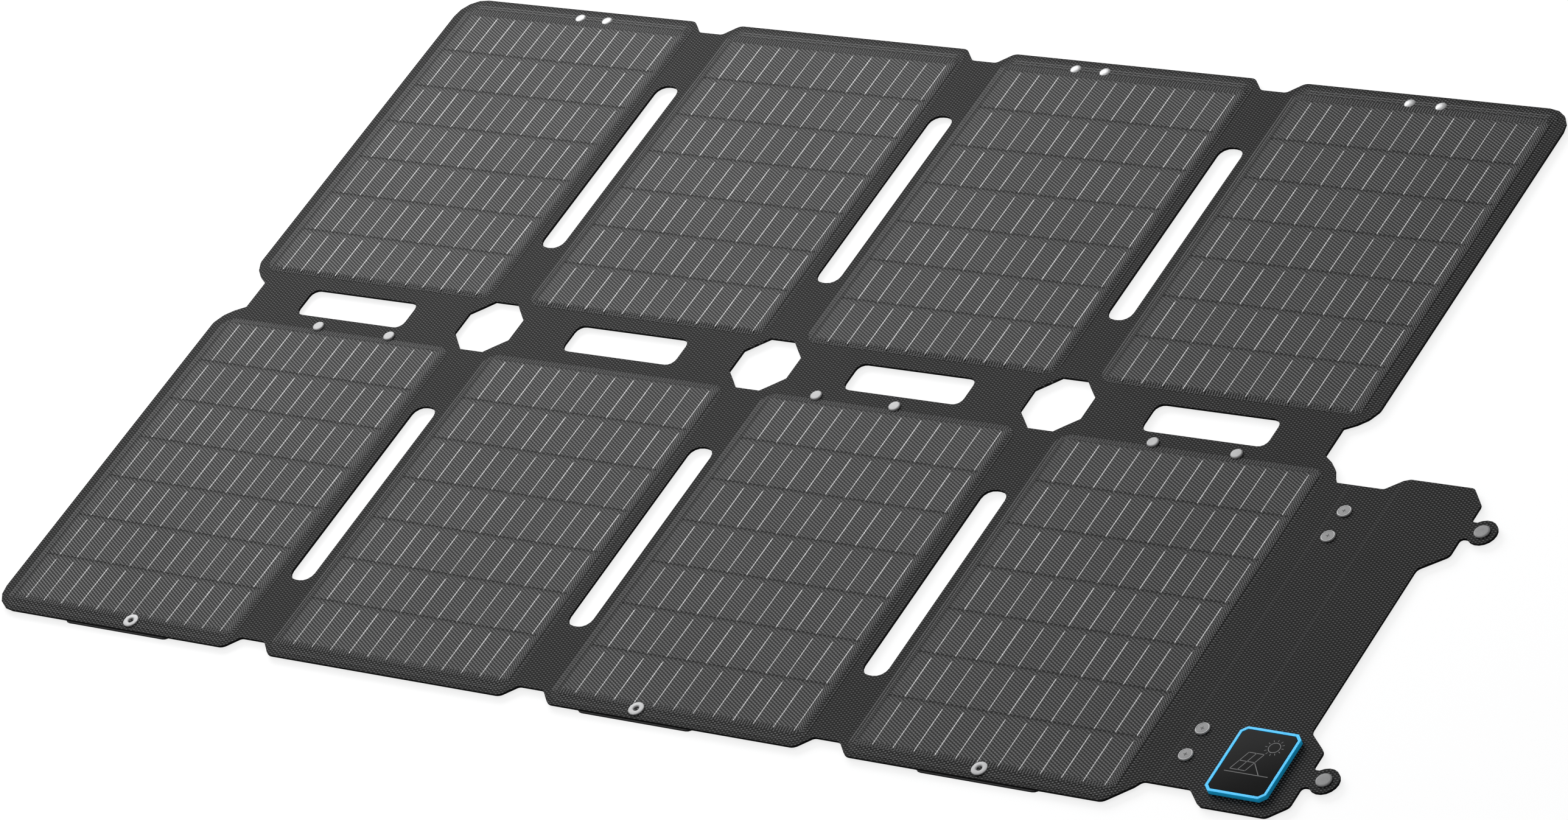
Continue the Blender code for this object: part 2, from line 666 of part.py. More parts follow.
def make_output_box():
    frame = chamfered(BOX_X, BOX_Y, *FRAME_SIZE, FRAME_CORNER)
    inner = [side - 2 * FRAME_WALL for side in FRAME_SIZE]
    opening = chamfered(BOX_X, BOX_Y, *inner, FRAME_CORNER - 1.2)
    rim = plate("box_frame", [frame, opening], CAP_LOW, FRAME_TOP, "cover", BLUE)
    mouth_y = BOX_Y + FRAME_SIZE[1] / 2
    for name, x in SOCKET_XS.items():
        width, height = (side + 2 * GAP for side in SOCKET_SIZE)
        mouth = rectangle(BOX_X + x, mouth_y, width, 3 * FRAME_WALL)
        cut(rim, [mouth], CAP_LOW - 1.0, SOCKET_LOW + height - GAP / 2)
        make_socket(name, BOX_X + x, mouth_y)
    face = chamfered(BOX_X, BOX_Y, inner[0] - 2 * GAP, inner[1] - 2 * GAP, FRAME_CORNER - 1.3)
    plate("face_plate", [face], PLATE_LOW, FRAME_TOP - 0.05, "cover", GLOSS)
    case = plate("output_case", [rectangle(BOX_X, BOX_Y, *CASE_SIZE, 4.0)], 0.0, STAY_HIGH, "cover", CASE)
    wall = outline_mesh("case_wall", [rectangle(BOX_X, BOX_Y, *CASE_RIM, 2.0)], 0.6, CASE_RIM_TOP)
    join(case, bpy.data.objects.new("case_wall", wall))
    hollow = [side - 2 * CASE_WALL for side in CASE_RIM]
    cut(case, [rectangle(BOX_X, BOX_Y, *hollow, 1.5)], CASE_FLOOR, CASE_RIM_TOP + 1.0)
    circuit = rectangle(BOX_X, BOX_Y, *BOARD_SIZE, 1.0)
    plate("output_board", [circuit], CIRCUIT_LOW, CIRCUIT_HIGH, "cover", CIRCUIT)


def make_socket(name, x, mouth_y):
    """A USB-C socket's steel shell, open towards the box's far side."""
    width, height = SOCKET_SIZE
    middle = mouth_y - SOCKET_DEPTH / 2 - 0.2
    shell = rectangle(x, middle, width, SOCKET_DEPTH)
    made = plate(f"usb_socket_{name}", [shell], SOCKET_LOW, SOCKET_LOW + height, "cover", STEEL)
    hollow = rectangle(x, middle + 1.0, width - 2 * SOCKET_WALL, SOCKET_DEPTH)
    cut(made, [hollow], SOCKET_LOW + SOCKET_WALL, SOCKET_LOW + height - SOCKET_WALL)


make_panels()
make_bands()
make_stands()
make_flap()
make_carry_handle()
make_tab_snaps()
make_output_box()
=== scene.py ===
import math

import bmesh
import bpy
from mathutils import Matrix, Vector


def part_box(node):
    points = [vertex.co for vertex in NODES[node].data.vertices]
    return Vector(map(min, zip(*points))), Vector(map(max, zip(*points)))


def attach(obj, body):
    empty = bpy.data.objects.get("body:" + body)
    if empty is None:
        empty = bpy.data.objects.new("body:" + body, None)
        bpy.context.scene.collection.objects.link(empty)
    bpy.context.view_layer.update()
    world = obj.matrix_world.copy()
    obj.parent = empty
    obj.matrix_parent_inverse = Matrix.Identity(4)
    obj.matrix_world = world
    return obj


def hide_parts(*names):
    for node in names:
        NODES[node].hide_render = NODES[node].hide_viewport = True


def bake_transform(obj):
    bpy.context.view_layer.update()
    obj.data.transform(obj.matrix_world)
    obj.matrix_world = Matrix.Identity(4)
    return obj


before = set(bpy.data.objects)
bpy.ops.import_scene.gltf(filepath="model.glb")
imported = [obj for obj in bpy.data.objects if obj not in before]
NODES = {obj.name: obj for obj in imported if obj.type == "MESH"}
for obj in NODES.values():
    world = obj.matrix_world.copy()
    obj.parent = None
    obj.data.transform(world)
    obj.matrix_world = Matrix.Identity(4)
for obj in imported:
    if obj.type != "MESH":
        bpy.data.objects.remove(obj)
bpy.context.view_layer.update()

# The looks of the folding camping solar panel: cloth, cell film, fasteners, badge, floor, light, camera.
# Lengths are in metres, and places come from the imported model's boxes. X runs along the rows to the
# flap, Y from the bottom row to the top row, and the floor is at height zero.

MM = 0.001

ROWS = ("bottom", "top")
COLUMNS = (1, 2, 3, 4)
STANDS = (1, 3, 4)


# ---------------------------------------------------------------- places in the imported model


def low_of(node):
    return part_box(node)[0]


def high_of(node):
    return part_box(node)[1]


def middle_of(node):
    low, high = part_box(node)
    return (low + high) / 2


FOLDS = {k: (high_of(f"mat_bottom_{k}").x + low_of(f"mat_bottom_{k + 1}").x) / 2 for k in COLUMNS[:-1]}
ROW_SEAM = (low_of("mat_top_1").y + high_of("handle_band_1").y) / 2
SPINE_SEAM = (high_of("mat_bottom_4").x + low_of("flap_spine").x) / 2
COVER_SEAM = (high_of("flap_spine").x + low_of("flap_cover").x) / 2
MAT_LOW, MAT_HIGH = low_of("mat_top_1").z, high_of("mat_top_1").z
CELLS_HIGH = high_of("cells_top_1").z

# ---------------------------------------------------------------- driving sizes

TOUCH, HAIR = 1e-6, 1e-7  # points of the CAD this close are the same, and points of a mesh made here
FLAT_ANGLE = 0.01  # faces that meet at less are one flat face
SEAM_REACH = 1.4 * MM  # how far the CAD's cloth stops from a flap hinge's axis, at most
WELD = 0.5 * MM  # points of the cloth this close become one
FOLD_REACH = 0.2 * MM  # how far a point may lie off a fold line between panels
RIM = 0.38 * MM  # rounding of the cloth's cut edge
BAND_HALF = 26.5 * MM  # half the width of the bending piece between the rows
STRIP_HALF = 18.0 * MM  # half the width of the bending piece between two columns
ROOT_START = SPINE_SEAM - 9.0 * MM  # where the flap's cloth takes over from the last panel's
SPINE_MIDDLE = (SPINE_SEAM + COVER_SEAM) / 2
BEND_STEP = 2.0 * MM  # between the creases of a bend
STAY_STEP = 8.0 * MM  # between the creases of a kickstand's stay

# Where each bend starts and ends, from its fold line
ROW_BEND = 4.0 * MM
DEEP_BEND, TIGHT_BEND = 9.0 * MM, 5.0 * MM
BACK_TO_BACK = 2  # the column whose fold brings two backs together; the other folds bring faces together
SPINE_BEND = 5.0 * MM
COVER_BEND_START, COVER_BEND_END = 3.5 * MM, 1.4 * MM

# Raised film over each panel's cells
FILM_HALF_WIDTH = 112.4 * MM
FILM_NEAR, FILM_FAR = 26.6 * MM, 339.4 * MM  # from the fold between the rows
FILM_CORNER, CELL_CORNER = 12.0 * MM, 4.0 * MM
# how far in from the embossed line, and the share of the film's rise there
FILM_PROFILE = [(0.0, -0.2), (0.0, 0.03), (0.06, 0.13), (0.12, 0.15), (0.2, 0.1), (0.34, 0.18)]
FILM_PROFILE += [(0.5, 0.44), (0.7, 0.76), (0.86, 0.94), (1.0, 1.0)]

# Cells, and the busbars along them
CELL_ROWS = 7
CELL_HALF = (high_of("cells_top_1").x - low_of("cells_top_1").x) / 2
CELL_LENGTH = (high_of("cells_top_1").y - low_of("cells_top_1").y) / CELL_ROWS
BARS = 12
BAR_PITCH = 17.45 * MM
BAR_WIDTH, BAR_HEIGHT = 1.3 * MM, 0.22 * MM
BAR_GAP, FIRST_GAP, LAST_RUN = 4.0 * MM, 1.5 * MM, 3.5 * MM
BAR_TAPER, BAR_END_HEIGHT = 1.2 * MM, 0.35  # the length of a bar's lower end, and its share of the height
BAR_LEAN, BAR_UNEVENNESS = 0.12 * MM, 0.08  # the most that a bar strays, and its share of the width
# points across a bar, in shares of its width and height
BAR_SECTION = [(-0.5, -0.15), (-0.34, 0.72), (0.0, 1.0), (0.34, 0.72), (0.5, -0.15)]
# how far below the laminate's end each row's cells begin
HEAD_DROP = {"top": 3.0 * MM, "bottom": 0.0}
# how far each column's cells sit to the right of the panel's middle
CELL_SHIFT = {1: 2.0 * MM, 2: 4.6 * MM, 3: 5.4 * MM, 4: 4.2 * MM}

# Fasteners. The caps' middles are an inset away from the CAD node's ends.
CAP_RADIUS, RIVET_RADIUS, POST_RADIUS = 4.5 * MM, 5.5 * MM, 1.55 * MM
DOMED_INSET, FLAT_INSET = 4.35 * MM, 4.5 * MM
DOMED_OVERHANG, FLAT_OVERHANG = 3.2 * MM, 4.5 * MM  # of the backing bar, past the caps' middles
DOMED_RISE, FLAT_RISE = 1.1 * MM, 0.3 * MM  # of the crown over the rim
DOME_DROP = 0.75 * MM  # keeps a domed cap clear of the panel that folds over it
TOP_BAR_WIDTH, LEG_BAR_WIDTH, RIVET_BAR_WIDTH = 8.0 * MM, 8.4 * MM, 9.0 * MM
BACKING = 0.7 * MM  # thickness of a backing bar
CLEARANCE = 0.02 * MM  # between pressed metal and the cloth
EYELET_BORE = 2.0 * MM  # its radius
CROSS_ARM, CROSS_HALF = 1.5 * MM, 0.24 * MM
RING_RADIUS, RING_HALF_WIDTH, RING_HEIGHT = 4.75 * MM, 0.3 * MM, 0.16 * MM

# Output box: the lines of its drawing
LINE_WIDTH, LINE_DEPTH, LINE_HEIGHT = 0.55 * MM, 0.05 * MM, 0.03 * MM

# Studio
WORLD_LIGHT = 0.36
FLOOR_SIZE, FLOOR_DROP = 9.0, 0.02 * MM
FLOOR_GLOW = 0.8  # how much of the floor the camera sees as plain white, like the photo's cut-out

# Weave: its three gratings, in waves to the millimetre
WARP_WAVE, WEFT_WAVE, RIB_WAVE = (0.225, 0.413), (-0.2, 0.413), (0.425, 0.0)

# The film's thin embossed lines, drawn lighter as a painted highlight, in millimetres: the left side's from
# the panel's middle, and the far side's from the first cell's start
EMBOSS_HIGHLIGHT_LEFT = [(-111.7, -111.0), (-108.9, -108.3)]
EMBOSS_HIGHLIGHT_FAR = [(-11.6, -10.9), (-8.8, -8.2)]
BELOW_ALL = -9.0  # less than any distance from the middle


# ---------------------------------------------------------------- node helper


class Look:
    """A material whose colour, roughness and relief come from short formulas."""

    def __init__(self, name, roughness=0.5, metallic=0.0):
        self.material = bpy.data.materials.new(name)
        self.material.use_nodes = True
        self.tree = self.material.node_tree
        self.shader = self.tree.nodes["Principled BSDF"]
        self.shader.inputs["Roughness"].default_value = roughness
        self.shader.inputs["Metallic"].default_value = metallic

    def put(self, socket, value):
        if isinstance(value, bpy.types.NodeSocket):
            self.tree.links.new(value, socket)
        else:
            socket.default_value = value

    def math(self, operation, *values):
        made = self.tree.nodes.new("ShaderNodeMath")
        made.operation = operation
        for socket, value in zip(made.inputs, values):
            self.put(socket, value)
        return made.outputs[0]

    def plus(self, a, b):
        return self.math("ADD", a, b)

    def times(self, a, b):
        return self.math("MULTIPLY", a, b)

    def sheet(self, name="cloth"):
        """The cloth's own flat coordinates, or a panel's, in millimetres."""
        uv = self.tree.nodes.new("ShaderNodeUVMap")
        uv.uv_map = name
        split = self.tree.nodes.new("ShaderNodeSeparateXYZ")
        self.put(split.inputs[0], uv.outputs[0])
        return self.times(split.outputs[0], 1 / MM), self.times(split.outputs[1], 1 / MM)

    def solid(self):
        """The solid's own coordinates."""
        return self.tree.nodes.new("ShaderNodeTexCoord").outputs["Object"]

    def vector(self, x, y, z=0.0):
        made = self.tree.nodes.new("ShaderNodeCombineXYZ")
        for socket, value in zip(made.inputs, (x, y, z)):
            self.put(socket, value)
        return made.outputs[0]

    def noise(self, vector, scale, detail=2.0, roughness=0.5):
        made = self.tree.nodes.new("ShaderNodeTexNoise")
        self.put(made.inputs["Vector"], vector)
        made.inputs["Scale"].default_value = scale
        made.inputs["Detail"].default_value = detail
        made.inputs["Roughness"].default_value = roughness
        return made.outputs["Fac"]

    def ramp(self, value, low, high, to_low=0.0, to_high=1.0):
        made = self.tree.nodes.new("ShaderNodeMapRange")
        made.interpolation_type = "SMOOTHSTEP"
        for name, number in zip(("From Min", "From Max", "To Min", "To Max"), (low, high, to_low, to_high)):
            made.inputs[name].default_value = number
        self.put(made.inputs["Value"], value)
        return made.outputs[0]

    def mix(self, factor, a, b):
        made = self.tree.nodes.new("ShaderNodeMix")
        made.data_type = "RGBA"
        self.put(made.inputs["Factor"], factor)
        # the node's colour sockets share their names with its number sockets
        for socket, value in zip((made.inputs[6], made.inputs[7]), (a, b)):
            self.put(socket, value if isinstance(value, bpy.types.NodeSocket) else (*value, 1.0))
        return made.outputs[2]

    def wave(self, u, v, waves, wander=0.0):
        """A grating across the cloth, from -1 to 1."""
        turns = self.plus(self.times(u, waves[0]), self.times(v, waves[1]))
        return self.math("COSINE", self.times(self.plus(turns, wander), math.tau))

    def band(self, value, low, high, soft):
        """1 between low and high, with soft ends."""
        rise = self.ramp(value, low - soft, low + soft)
        fall = self.ramp(value, high - soft, high + soft, 1.0, 0.0)
        return self.times(rise, fall)

    def specular(self, level):
        self.shader.inputs["Specular IOR Level"].default_value = level

    def relief(self, height, distance, strength=1.0):
        bump = self.tree.nodes.new("ShaderNodeBump")
        bump.inputs["Distance"].default_value = distance
        bump.inputs["Strength"].default_value = strength
        self.put(bump.inputs["Height"], height)
        self.put(self.shader.inputs["Normal"], bump.outputs[0])

    def unlit_to_camera(self, share):
        """Plain white, as far as the share goes, to the camera only; light still falls on the material."""
        glow = self.tree.nodes.new("ShaderNodeEmission")
        mixed = self.tree.nodes.new("ShaderNodeMixShader")
        seen = self.tree.nodes.new("ShaderNodeLightPath").outputs["Is Camera Ray"]
        self.put(mixed.inputs[0], self.times(seen, share))
        self.put(mixed.inputs[1], self.shader.outputs[0])
        self.put(mixed.inputs[2], glow.outputs[0])
        self.put(self.tree.nodes["Material Output"].inputs[0], mixed.outputs[0])

    def set(self, **values):
        for name, value in values.items():
            self.put(self.shader.inputs[name.replace("_", " ")], value)


def grey(level):
    """A neutral colour, faintly cool."""
    return (level, level * 1.003, level * 1.015)


# ---------------------------------------------------------------- materials


def weave(look, u, v, wander):
    """Raised lozenges of the cloth's weave: the height, the warp's grating and the other two together."""
    warp = look.wave(u, v, WARP_WAVE, wander)
    weft = look.wave(u, v, WEFT_WAVE, wander)
    rib = look.wave(u, v, RIB_WAVE)
    height = look.plus(look.times(look.plus(warp, weft), 0.2), look.plus(look.times(rib, 0.12), 0.5))
    return height, warp, look.plus(weft, rib)


def cloth_look(name, dark, light, roughness=0.62, pale_crease_lines=()):
    """Dark woven cloth with lighter lozenges where the yarns pass over, and creases drawn paler."""
    look = Look(name, roughness)
    u, v = look.sheet()
    place = look.vector(u, v)
    wander = look.times(look.plus(look.noise(place, 0.07), -0.5), 0.35)
    height, _, _ = weave(look, u, v, wander)
    yarn = look.noise(place, 1.9, 3.0, 0.65)
    drift = look.noise(place, 0.012, 3.0)
    shown = look.ramp(look.plus(height, look.times(look.plus(yarn, -0.5), 0.36)), 0.42, 0.95)
    shade = look.times(shown, look.plus(0.78, look.times(drift, 0.44)))
    # the creases end where the flap does
    # the cloth is drawn paler along each given crease line
    for line in pale_crease_lines:
        crease_u = look.band(look.plus(u, look.times(drift, 1.5)), line / MM - 0.2, line / MM + 1.7, 0.5)
        shade = look.plus(shade, look.times(look.times(crease_u, look.ramp(v, -30.0, -26.0, 1.0, 0.0)), 0.1))
    look.set(Base_Color=look.mix(shade, grey(dark), grey(light)))
    look.set(Roughness=look.plus(roughness - 0.08, look.times(yarn, 0.16)))
    look.relief(look.plus(height, look.times(yarn, 0.25)), 0.5 * MM, 1.0)
    look.specular(0.07)
    return look.material


def film_look():
    """The embossed film over the cells: fine diagonal twill, hatched ends, ridges, embossed lines drawn
    lighter as a painted highlight, and stitched dashes.
    """
    look = Look("cell_film", 0.46)
    u, v = look.sheet()
    x, down = look.sheet("panel")
    place = look.vector(u, v)
    wander = look.times(look.plus(look.noise(place, 0.06), -0.5), 0.3)
    height, twill, cross = weave(look, u, v, wander)
    yarn = look.noise(place, 1.7, 3.0, 0.65)
    fuzz = look.times(look.plus(yarn, -0.5), 0.4)
    drift = look.noise(place, 0.010, 3.0)
    half = look.math("ABSOLUTE", x)
    cell_length = CELL_LENGTH / MM
    zone_half, zone_end = CELL_HALF / MM, cell_length * CELL_ROWS
    width = look.band(half, BELOW_ALL, zone_half, 0.8)
    inside = look.times(width, look.band(down, 0.0, zone_end, 0.8))
    outside = look.math("SUBTRACT", 1.0, inside)

    # twill inside the cell zone, lozenges outside it
    twill_height = look.plus(look.plus(look.times(twill, 0.36), look.times(cross, 0.11)), 0.5)
    tone = look.ramp(look.plus(twill_height, fuzz), 0.12, 0.95)
    cell = look.mix(look.times(tone, look.plus(0.8, look.times(drift, 0.4))), grey(0.004), grey(0.11))
    rim_tone = look.ramp(look.plus(height, look.times(fuzz, 0.9)), 0.42, 0.95)
    rim = look.mix(rim_tone, grey(0.006), grey(0.11))
    colour = look.mix(inside, rim, cell)

    # the short hatching past both ends of the cells
    ends = look.plus(look.band(down, -5.5, -0.3, 0.5), look.band(down, zone_end + 0.3, zone_end + 5.0, 0.5))
    ends = look.times(ends, look.band(half, BELOW_ALL, zone_half + 1.0, 0.8))
    hatch = look.ramp(look.wave(u, v, (0.43, 0.02), wander), -0.6, 0.9)
    colour = look.mix(look.times(ends, 0.55), colour, look.mix(hatch, grey(0.008), grey(0.13)))

    # the knobbly column beside the last busbar
    ridge = look.band(x, zone_half - 3.0, zone_half + 3.4, 0.4)
    ridge = look.times(ridge, look.band(down, -2.0, zone_end + 2.0, 0.8))
    knobs = look.times(look.wave(x, down, (0.46, 0.0)), look.wave(x, down, (0.0, 0.42), wander))
    knobs = look.ramp(knobs, -0.3, 0.8)
    colour = look.mix(look.times(ridge, 0.85), colour, look.mix(knobs, grey(0.006), grey(0.19)))

    # painted highlight: the embossing's thin lines drawn lighter, as if they catch the light, along the left
    # and far sides
    left = look.plus(*[look.band(x, *line, 0.25) for line in EMBOSS_HIGHLIGHT_LEFT])
    far = look.plus(*[look.band(down, *line, 0.25) for line in EMBOSS_HIGHLIGHT_FAR])
    left = look.times(left, look.band(down, -3.0, zone_end + 3.0, 1.0))
    far = look.times(far, look.band(half, BELOW_ALL, zone_half - 1.0, 1.0))
    lines = look.plus(left, far)
    colour = look.mix(look.times(lines, 0.5), colour, grey(0.16))

    # dashes between the cells
    steps = look.math("FRACT", look.plus(look.times(down, 1.0 / cell_length), 0.5))
    off = look.times(look.math("ABSOLUTE", look.plus(steps, -0.5)), cell_length)
    line = look.ramp(off, 0.35, 1.0, 1.0, 0.0)
    inner = look.band(down, cell_length * 0.5, cell_length * (CELL_ROWS - 0.5), 1.0)
    dashes = look.ramp(look.wave(x, down, (0.27, 0.0), wander), -0.35, 0.1)
    dashes = look.times(dashes, look.band(half, BELOW_ALL, zone_half, 0.6))
    stitch = look.times(look.times(line, inner), dashes)
    halo = look.times(look.times(look.ramp(off, 0.8, 2.6, 1.0, 0.0), inner), 0.18)
    colour = look.mix(look.times(halo, inside), colour, grey(0.012))
    colour = look.mix(look.times(stitch, 0.7), colour, grey(0.004))

    look.set(Base_Color=colour)
    look.set(Roughness=look.plus(0.34, look.times(yarn, 0.12)))
    lift = look.plus(look.times(inside, look.times(twill_height, 0.55)), look.times(outside, height))
    lift = look.plus(lift, look.times(ends, look.times(hatch, 0.6)))
    lift = look.plus(lift, look.times(ridge, look.times(knobs, 0.6)))
    lift = look.math("SUBTRACT", lift, look.times(stitch, 0.9))
    lift = look.plus(lift, look.times(yarn, 0.2))
    look.relief(lift, 0.45 * MM, 1.0)
    look.specular(0.03)
    return look.material


def bar_look():
    """Tinned busbars seen through the film, brighter and duller along their length."""
    look = Look("busbar_tin", 0.38)
    u, v = look.sheet()
    place = look.vector(u, v)
    wander = look.times(look.plus(look.noise(place, 0.06), -0.5), 0.3)
    twill = look.wave(u, v, WARP_WAVE, wander)
    wear = look.noise(look.vector(look.times(u, 3.0), v), 0.16, 3.0)
    breaks = look.ramp(look.plus(twill, look.times(look.plus(wear, -0.5), 1.6)), -0.9, 0.7)
    tone = look.plus(look.times(breaks, 0.55), look.times(wear, 0.45))
    look.set(Base_Color=look.mix(tone, grey(0.05), grey(0.31)))
    look.relief(twill, 0.1 * MM, 0.6)
    look.shader.inputs["Metallic"].default_value = 0.25
    look.specular(0.6)
    return look.material


def plain_look(name, dark, light, roughness, grain=900.0, depth=0.05, tint=grey(1.0), specular=0.5):
    """Moulded, pressed or spun material: fine grain, soft drift in tone and a light relief."""
    look = Look(name, roughness)
    place = look.solid()
    fine = look.noise(place, grain, 3.0, 0.6)
    broad = look.noise(place, grain / 14.0, 3.0)
    tone = look.plus(look.times(fine, 0.4), look.times(broad, 0.6))
    ends = [tuple(level * part for part in tint) for level in (dark, light)]
    look.set(Base_Color=look.mix(look.ramp(tone, 0.25, 0.75), *ends))
    look.set(Roughness=look.plus(roughness - 0.06, look.times(fine, 0.12)))
    look.relief(fine, depth * MM, 0.5)
    look.specular(specular)
    return look


def webbing_look():
    """Flat black webbing: a tight plain weave."""
    look = Look("webbing_black", 0.8)
    u, v = look.sheet()
    place = look.vector(u, v)
    across = look.wave(u, v, (0.62, 0.0))
    along = look.wave(u, v, (0.0, 0.5))
    height = look.plus(look.times(look.times(across, along), 0.5), 0.5)
    fuzz = look.noise(place, 1.4, 3.0, 0.7)
    tone = look.ramp(look.plus(height, look.times(fuzz, 0.5)), 0.3, 1.3)
    look.set(Base_Color=look.mix(tone, grey(0.012), grey(0.05)))
    look.relief(look.plus(height, fuzz), 0.18 * MM, 0.8)
    look.shader.inputs["Sheen Weight"].default_value = 0.2
    look.shader.inputs["Sheen Roughness"].default_value = 0.5
    return look.material


def spun_look(name, dark, light, roughness, metallic=0.05):
    """A pressed metal cap, with a fine grain."""
    look = plain_look(name, dark, light, roughness, 1500.0, 0.02)
    look.shader.inputs["Metallic"].default_value = metallic
    look.specular(0.25)
    return look.material


def blue_look():
    """Glossy moulded plastic."""
    look = plain_look("frame_blue", 0.95, 1.05, 0.4, 700.0, 0.02, tint=(0.015, 0.5, 0.92), specular=0.12)
    look.shader.inputs["Coat Weight"].default_value = 0.15
    look.shader.inputs["Coat Roughness"].default_value = 0.2
    return look.material


def face_look():
    """Near-black printed face, with a painted sheen that makes it a little lighter towards its upper left
    corner.
    """
    look = Look("face_black", 0.4)
    u, v = look.sheet("panel")
    place = look.vector(u, v)
    # painted sheen: the colour grows lighter towards the face's upper left corner
    painted_sheen = look.ramp(look.math("SUBTRACT", look.times(v, 0.02), look.times(u, 0.012)), -0.75, 0.85)
    grain = look.noise(place, 2.5, 2.0)
    tone = look.plus(look.times(painted_sheen, 0.85), look.times(grain, 0.15))
    look.set(Base_Color=look.mix(tone, grey(0.0006), grey(0.024)))
    look.set(Roughness=look.plus(0.4, look.times(grain, 0.1)))
    look.relief(grain, 0.004 * MM, 0.2)
    look.specular(0.012)
    return look.material


FABRIC = cloth_look("mat_weave", 0.003, 0.074, pale_crease_lines=(SPINE_SEAM, COVER_SEAM))
EDGE = plain_look("mat_cut_edge", 0.0015, 0.004, 0.8, 1200.0, 0.05, specular=0.04).material
# the rim: a lighter copy of the weave, a painted highlight along the cloth's rounded top edge
RIM_HIGHLIGHT_LOOK = cloth_look("mat_rim_painted_highlight", 0.02, 0.09, 0.5)
FILM = film_look()
TIN = bar_look()
WEBBING = webbing_look()
BOARD = plain_look("stand_board_black", 0.01, 0.02, 0.6, 1400.0, 0.06, specular=0.12).material
DOMED = spun_look("cap_domed", 0.29, 0.37, 0.38, 0.25)
# a lighter grey for the rivets' raised rings: a painted highlight
RIVET_RING_HIGHLIGHT = spun_look("rivet_ring_painted_highlight", 0.42, 0.54, 0.4)
SATIN = spun_look("cap_satin", 0.26, 0.33, 0.44)
EYELET = spun_look("eyelet_grey", 0.3, 0.38, 0.44)
DULL = spun_look("rivet_grey", 0.15, 0.21, 0.5)
# near-black for the rivets' pressed crosses: painted shade in their recesses
RIVET_CROSS_SHADE = spun_look("rivet_cross_painted_shade", 0.006, 0.012, 0.6)
BLUE = blue_look()
FACE = face_look()
PRINT = plain_look("face_print", 0.11, 0.14, 0.6, 1200.0, 0.01, specular=0.2).material
CASE = plain_look("case_black", 0.01, 0.02, 0.5, 1100.0, 0.05, specular=0.2).material
CIRCUIT = plain_look("circuit_green", 0.8, 1.2, 0.45, 800.0, 0.03, (0.02, 0.15, 0.06)).material


# ---------------------------------------------------------------- mesh helpers


def show(name, work, *looks, smooth=True):
    """An object from a bmesh, which is freed."""
    mesh = bpy.data.meshes.new(name)
    for face in work.faces:
        face.smooth = smooth
    work.to_mesh(mesh)
    work.free()
    for look in looks:
        mesh.materials.append(look)
    made = bpy.data.objects.new(name, mesh)
    bpy.context.scene.collection.objects.link(made)
    return made


def flat_coords(made, name="cloth", origin=(0.0, 0.0), stretch=1.0):
    """Keeps each point's place at rest, from an origin and with Y stretched, as a UV map."""
    layer = made.data.uv_layers.new(name=name)
    for loop in made.data.loops:
        point = made.data.vertices[loop.vertex_index].co
        layer.data[loop.index].uv = (point.x - origin[0], stretch * (point.y - origin[1]))


def even_normals(made):
    """Shades large flat faces flat, and small roundings smooth."""
    modifier = made.modifiers.new("even_normals", "WEIGHTED_NORMAL")
    modifier.weight = 60


def finish_piece(made, body, slot, *nodes):
    """The body that a piece rides on, its material slot, which is not used, and the CAD nodes that it
    replaces.
    """
    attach(made, body)
    if nodes:
        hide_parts(*nodes)


def soften(node, look, width, segments=2, coords=False):
    """A CAD node keeps its shape, and gets small roundings and a finish."""
    made = NODES[node]
    weld = made.modifiers.new("weld", "WELD")
    weld.merge_threshold = 1e-5
    bevel = made.modifiers.new("round", "BEVEL")
    bevel.width = width
    bevel.segments = segments
    bevel.limit_method = "ANGLE"
    bevel.angle_limit = math.radians(35)
    even_normals(made)
    made.data.materials.clear()
    made.data.materials.append(look)
    for face in made.data.polygons:
        face.use_smooth = True
    if coords:
        flat_coords(made)
    return made


def rounded_ring(x0, x1, y0, y1, radius, z, steps=7):
    """Points of a rounded rectangle, from its right side round to the left."""
    points = []
    corners = [(x1 - radius, y0 + radius, -90), (x1 - radius, y1 - radius, 0)]
    corners += [(x0 + radius, y1 - radius, 90), (x0 + radius, y0 + radius, 180)]
    for x, y, start in corners:
        for step in range(steps + 1):
            angle = math.radians(start + 90 * step / steps)
            points.append(Vector((x + radius * math.cos(angle), y + radius * math.sin(angle), z)))
    return points


def loft(work, rings):
    """A closed solid: quads between rings with the same number of points, and a face at both ends."""
    made = [[work.verts.new(point) for point in ring] for ring in rings]
    for a, b in zip(made, made[1:]):
        count = len(a)
        for i in range(count):
            j = (i + 1) % count
            work.faces.new((a[i], a[j], b[j], b[i]))
    work.faces.new(made[0][::-1])
    work.faces.new(made[-1])


def turned(work, profile, x, y, steps=40):
    """A round solid about an upright axis: (radius, height) points from its lowest point to its highest."""
    rings = []
    for radius, z in profile:
        if radius == 0:
            rings.append([work.verts.new((x, y, z))])
            continue
        ring = []
        for i in range(steps):
            angle = math.tau * i / steps
            ring.append(work.verts.new((x + radius * math.cos(angle), y + radius * math.sin(angle), z)))
        rings.append(ring)
    for a, b in zip(rings, rings[1:]):
        for i in range(steps):
            j = (i + 1) % steps
            if len(a) == 1:
                work.faces.new((a[0], b[j], b[i]))
            elif len(b) == 1:
                work.faces.new((a[i], a[j], b[0]))
            else:
                work.faces.new((a[i], a[j], b[j], b[i]))


# ---------------------------------------------------------------- cloth


def snap(value, line, reach):
    """The line's place for a value close to it, or the value itself."""
    return line if abs(value - line) < reach else value


